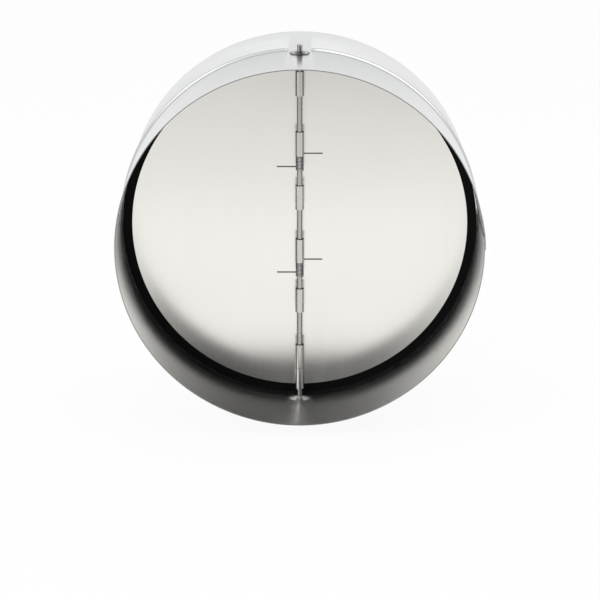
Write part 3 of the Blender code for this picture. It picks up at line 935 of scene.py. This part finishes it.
class DAMPER_OT_springs(bpy.types.Operator):
    """Wind the two torsion springs"""
    bl_idname = "damper.springs"
    bl_label = "Springs"

    def execute(self, context):
        spring = sizes("springs")
        spans = knuckle_spans(1.0)
        for name, span in (("upper", spans[0]), ("lower", spans[1])):
            top = span[0] - KNUCKLE_GAP - spring.wire
            build_coil(f"coil_{name}", f"spring_{name}_coil", top)
            build_leg(f"leg_{name}_right", f"spring_{name}_leg_right", "right_blade", 1.0, top)
            build_leg(f"leg_{name}_left", f"spring_{name}_leg_left", "left_blade", -1.0,
                      top - spring.pitch * TURNS)
        return {"FINISHED"}


# Stage
BRIGHTEST = 2.0
# Brightness at parts of a direction: by its height at the sides and in front, by its depth behind and
# by its width overhead
SIDES = ((-1.0, 0.9), (0.0, 0.85), (0.28, 0.75), (0.50, 0.65), (0.68, 0.60), (0.85, 0.80), (1.0, 0.95))
IN_FRONT = ((-1.0, 0.8), (-0.25, 0.6), (0.0, 0.50), (0.14, 0.33), (0.24, 0.09), (0.46, 0.06), (0.60, 0.50),
            (0.75, 0.70), (0.90, 0.95), (1.0, 1.0))
BEHIND = ((-1.0, 1.0), (0.0, 0.75), (0.30, 0.62), (0.70, 0.60), (0.90, 0.72), (0.95, 0.76), (0.97, 0.77),
          (1.0, 1.1))
OVERHEAD = ((-1.0, 0.70), (-0.93, 0.75), (-0.80, 1.60), (-0.62, 1.60), (-0.45, 1.05), (-0.05, 0.85),
            (0.10, 1.50), (0.80, 1.60), (0.93, 0.75), (1.0, 0.70))
# The same by depth in metres for the glow of the floor in reflections; its dip just in front of the sleeve
# is painted shade
FLOOR_IN_FRONT = ((-1.0, 0.90), (-0.92, 1.03), (-0.80, 1.06), (-0.60, 1.04), (-0.40, 1.0), (-0.23, 1.0),
                  (-0.19, 0.78), (-0.165, 0.46), (-0.12, 0.15), (0.0, 0.80), (1.0, 0.95))
GLOW_SEEN = 0.93
FLOOR_HALF_SIDE = 4.0
FLOOR_BACK_SHIFT = 2.2
SENSOR_WIDTH = 36.0
# Name, place, width and height in metres, power in watts, and whether metal mirrors it
LAMPS = (
    ("key_light", (-1.5, -1.7, 1.4), 1.6, 2.0, 9.0, True),
    ("top_light", (0.0, -0.3, 2.2), 2.0, 2.0, 18.0, False),
)


def brightness_by_part(tree, part, stops):
    """Brightness by one part, from -1 to 1, of a direction or a place."""
    curve = tree.nodes.new("ShaderNodeFloatCurve")
    points = curve.mapping.curves[0].points
    while len(points) < len(stops):
        points.new(0.5, 0.5)
    for point, (place, value) in zip(points, stops):
        point.location = ((place + 1.0) / 2.0, value / BRIGHTEST)
    curve.mapping.update()
    tree.links.new(ramp(tree, part, -1.0, 1.0), curve.inputs["Value"])
    scaled = tree.nodes.new("ShaderNodeMath")
    scaled.operation = "MULTIPLY"
    scaled.inputs[1].default_value = BRIGHTEST
    tree.links.new(curve.outputs["Value"], scaled.inputs[0])
    return scaled.outputs["Value"]


def blended(tree, share, first, second):
    mixed = tree.nodes.new("ShaderNodeMix")
    for socket, value in (("Factor", share), ("A", first), ("B", second)):
        if isinstance(value, float):
            mixed.inputs[socket].default_value = value
        else:
            tree.links.new(value, mixed.inputs[socket])
    return mixed.outputs["Result"]


def room_brightness(tree):
    """Dim in front and behind, bright overhead and at the sides, more light from the left."""
    coordinates = tree.nodes.new("ShaderNodeTexCoord")
    parts = tree.nodes.new("ShaderNodeSeparateXYZ")
    tree.links.new(coordinates.outputs["Generated"], parts.inputs["Vector"])
    across, along, up = (parts.outputs[axis] for axis in "XYZ")
    from_left = blended(tree, ramp(tree, across, -0.7, 0.7), 1.6, 0.4)
    front = product(tree, from_left, brightness_by_part(tree, up, IN_FRONT))
    near = blended(tree, ramp(tree, along, -0.85, 0.0, True), front, brightness_by_part(tree, up, SIDES))
    low_sky = blended(tree, ramp(tree, up, 0.0, 0.28), 1.2, 1.0)
    behind = product(tree, low_sky, brightness_by_part(tree, along, BEHIND))
    overhead = brightness_by_part(tree, across, OVERHEAD)
    far = blended(tree, ramp(tree, along, 0.22, 0.40, True), overhead, behind)
    return blended(tree, ramp(tree, along, -0.15, 0.0, True), near, far)


def white_world():
    """White for the camera; reflections see the room."""
    world = bpy.data.worlds.new("studio")
    bpy.context.scene.world = world
    world.use_nodes = True
    tree = world.node_tree
    tree.nodes.clear()
    room = tree.nodes.new("ShaderNodeBackground")
    tree.links.new(room_brightness(tree), room.inputs["Strength"])
    room.inputs["Color"].default_value = (1.0, 1.0, 1.0, 1.0)
    seen = tree.nodes.new("ShaderNodeBackground")
    seen.inputs["Strength"].default_value = 1.0
    seen.inputs["Color"].default_value = (1.0, 1.0, 1.0, 1.0)
    path = tree.nodes.new("ShaderNodeLightPath")
    mix = tree.nodes.new("ShaderNodeMixShader")
    tree.links.new(path.outputs["Is Camera Ray"], mix.inputs["Fac"])
    tree.links.new(room.outputs["Background"], mix.inputs[1])
    tree.links.new(seen.outputs["Background"], mix.inputs[2])
    output = tree.nodes.new("ShaderNodeOutputWorld")
    tree.links.new(mix.outputs["Shader"], output.inputs["Surface"])


def floor_finish():
    """Pale floor: lit paper under a glow, white for the camera, that keeps the shadow faint."""
    finish, tree, shader = new_finish("pale_floor", (0.88, 0.88, 0.88), 0.0, 0.7)
    shader.inputs["Specular IOR Level"].default_value = 0.1
    glow = tree.nodes.new("ShaderNodeEmission")
    path = tree.nodes.new("ShaderNodeLightPath")
    seen = path.outputs["Is Camera Ray"]
    # Glow seen in reflections, with painted shade just in front of the sleeve
    mirrored_glow = brightness_by_part(tree, object_place(tree)[1], FLOOR_IN_FRONT)
    tree.links.new(blended(tree, seen, mirrored_glow, 1.0), glow.inputs["Strength"])
    share = tree.nodes.new("ShaderNodeMath")
    share.operation = "MULTIPLY_ADD"
    share.inputs[1].default_value = GLOW_SEEN
    tree.links.new(seen, share.inputs[0])
    tree.links.new(path.outputs["Is Glossy Ray"], share.inputs[2])
    mix = tree.nodes.new("ShaderNodeMixShader")
    tree.links.new(share.outputs["Value"], mix.inputs["Fac"])
    tree.links.new(shader.outputs["BSDF"], mix.inputs[1])
    tree.links.new(glow.outputs["Emission"], mix.inputs[2])
    tree.links.new(mix.outputs["Shader"], tree.nodes["Material Output"].inputs["Surface"])
    return finish


def lay_floor(level):
    shape = bmesh.new()
    bmesh.ops.create_grid(shape, x_segments=1, y_segments=1, size=1.0)
    bmesh.ops.scale(shape, verts=shape.verts, vec=(FLOOR_HALF_SIDE, FLOOR_HALF_SIDE, 1.0))
    bmesh.ops.translate(shape, verts=shape.verts, vec=(0.0, FLOOR_BACK_SHIFT, level))
    mesh = bpy.data.meshes.new("floor")
    shape.to_mesh(mesh)
    shape.free()
    mesh.materials.append(floor_finish())
    floor = bpy.data.objects.new("floor", mesh)
    bpy.context.collection.objects.link(floor)


def add_softbox(name, place, width, height, power, mirrored):
    """A rectangular lamp that points at the middle of the sleeve."""
    lamp = bpy.data.lights.new(name, "AREA")
    lamp.shape = "RECTANGLE"
    lamp.size = width
    lamp.size_y = height
    lamp.energy = power
    box = bpy.data.objects.new(name, lamp)
    bpy.context.collection.objects.link(box)
    box.visible_glossy = mirrored
    box.location = place
    box.rotation_euler = (-Vector(place)).to_track_quat("-Z", "Y").to_euler()


def add_camera():
    stage = sizes("stage")
    data = bpy.data.cameras.new("camera")
    data.lens = stage.lens
    data.sensor_width = SENSOR_WIDTH
    data.shift_x = stage.shift_x
    data.shift_y = stage.shift_y
    data.clip_end = 50.0
    look = Vector((math.sin(stage.turn) * math.cos(stage.tilt),
                   math.cos(stage.turn) * math.cos(stage.tilt), -math.sin(stage.tilt)))
    camera = bpy.data.objects.new("camera", data)
    bpy.context.collection.objects.link(camera)
    camera.location = Vector((0.0, -sizes("sleeve").length / 2, 0.0)) - stage.distance * look
    camera.rotation_euler = look.to_track_quat("-Z", "Y").to_euler()
    bpy.context.scene.camera = camera


class DAMPER_OT_stage(bpy.types.Operator):
    """Set up the floor, the light and the camera"""
    bl_idname = "damper.stage"
    bl_label = "Stage"

    def execute(self, context):
        bpy.context.scene.view_settings.view_transform = "Standard"
        white_world()
        lay_floor(CAD_BOX[0].z - sizes("stage").floor_drop)
        for lamp in LAMPS:
            add_softbox(*lamp)
        add_camera()
        return {"FINISHED"}


class DAMPER_PT_panel(bpy.types.Panel):
    """Lists the steps that build the damper's looks"""
    bl_idname = "DAMPER_PT_panel"
    bl_label = "Backdraft damper"
    bl_space_type = "VIEW_3D"
    bl_region_type = "UI"
    bl_category = "Damper"

    def draw(self, context):
        for step in OPERATORS:
            self.layout.operator(step.bl_idname)


SETTINGS = {
    "damper_sleeve": SleeveSizes,
    "damper_blades": BladeSizes,
    "damper_shaft": ShaftSizes,
    "damper_springs": SpringSizes,
    "damper_finishes": Finishes,
    "damper_stage": StageSettings,
}
OPERATORS = (DAMPER_OT_sleeve, DAMPER_OT_seal, DAMPER_OT_blades, DAMPER_OT_shaft, DAMPER_OT_shaft_ends,
             DAMPER_OT_springs, DAMPER_OT_stage)


def register():
    for name, group in SETTINGS.items():
        bpy.utils.register_class(group)
        setattr(bpy.types.Scene, name, bpy.props.PointerProperty(type=group))
    for entry in (*OPERATORS, DAMPER_PT_panel):
        bpy.utils.register_class(entry)


def unregister():
    for entry in reversed((*OPERATORS, DAMPER_PT_panel)):
        bpy.utils.unregister_class(entry)
    for name, group in SETTINGS.items():
        delattr(bpy.types.Scene, name)
        bpy.utils.unregister_class(group)


def main():
    register()
    bpy.ops.damper.sleeve()
    bpy.ops.damper.seal()
    bpy.ops.damper.blades()
    bpy.ops.damper.shaft()
    bpy.ops.damper.shaft_ends()
    bpy.ops.damper.springs()
    bpy.ops.damper.stage()


if __name__ == "__main__":
    main()
